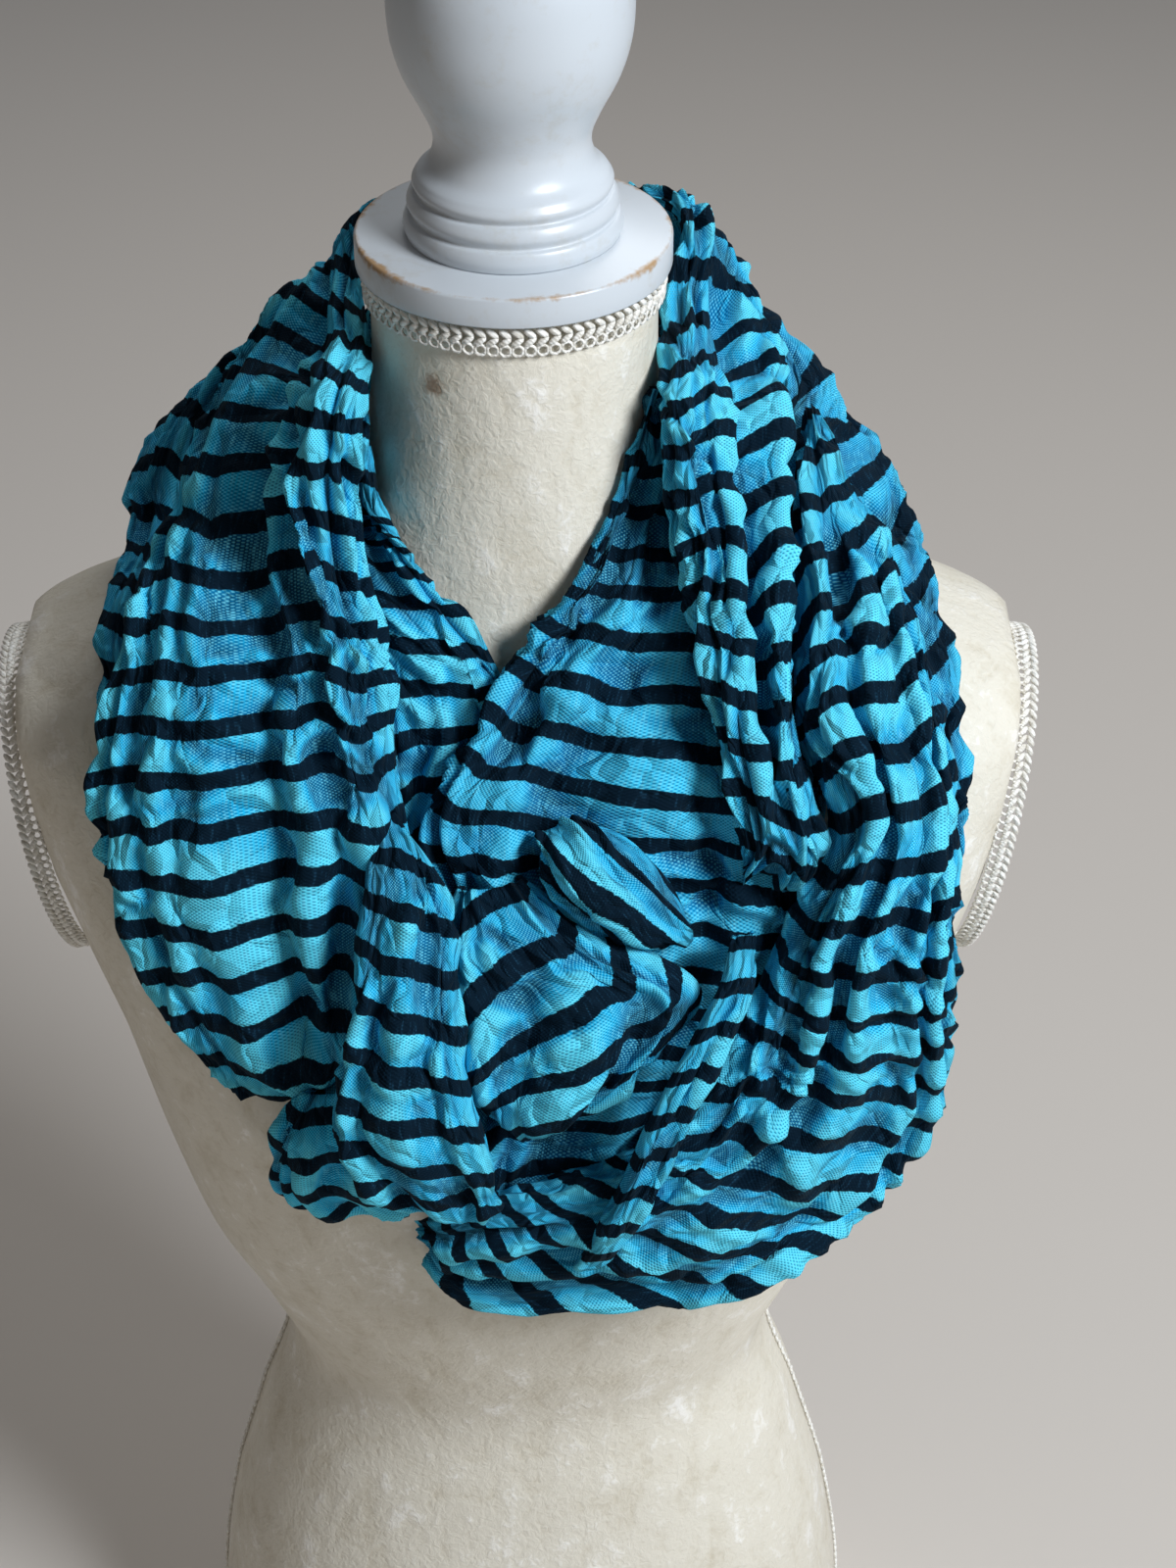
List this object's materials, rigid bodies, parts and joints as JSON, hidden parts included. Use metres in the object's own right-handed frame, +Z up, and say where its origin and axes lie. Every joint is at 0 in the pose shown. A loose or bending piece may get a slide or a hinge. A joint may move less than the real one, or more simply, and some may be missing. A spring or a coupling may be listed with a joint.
{
  "type": "infinity scarf on a dress form",
  "caption": "Thin crinkled gauze loop scarf with cross stripes, doubled round the neck in a loose cowl, on a limbless velvet dress form with a turned neck finial.",
  "frame": {"origin": "middle of the flat base of the dress form", "axes": "+Z up the form to the finial, the front of the form faces -Y, the form's left-hand side as the picture shows it is -X"},
  "size_m": [0.378, 0.2757, 0.8241],
  "materials": {
    "scarf_gauze": "soft matt crinkled gauze, blue with dark cross stripes",
    "form_velvet": "crushed cream velvet with pale glossy flecks",
    "painted_wood": "white paint, worn to ochre at the rims",
    "braid": "off-white plaited braid"
  },
  "bodies": {
    "root": {"inner_left": "scarf_gauze", "back_inner": "scarf_gauze", "inner_right": "scarf_gauze", "left_back": "scarf_gauze", "back_drape": "scarf_gauze", "right_back": "scarf_gauze", "right_panel": "scarf_gauze", "swag": "scarf_gauze", "left_panel": "scarf_gauze", "back_main": "scarf_gauze", "right_roll": "scarf_gauze", "twist_lower": "scarf_gauze", "lower_lobe": "scarf_gauze", "centre_panel": "scarf_gauze", "twist_upper": "scarf_gauze", "swag_strip": "scarf_gauze", "torso": "form_velvet", "neck_cap": "painted_wood", "finial": "painted_wood", "neck_braid": "braid", "arm_braid_left": "braid", "arm_braid_right": "braid", "side_braid_left": "braid", "side_braid_right": "braid"}
  },
  "joints": []
}
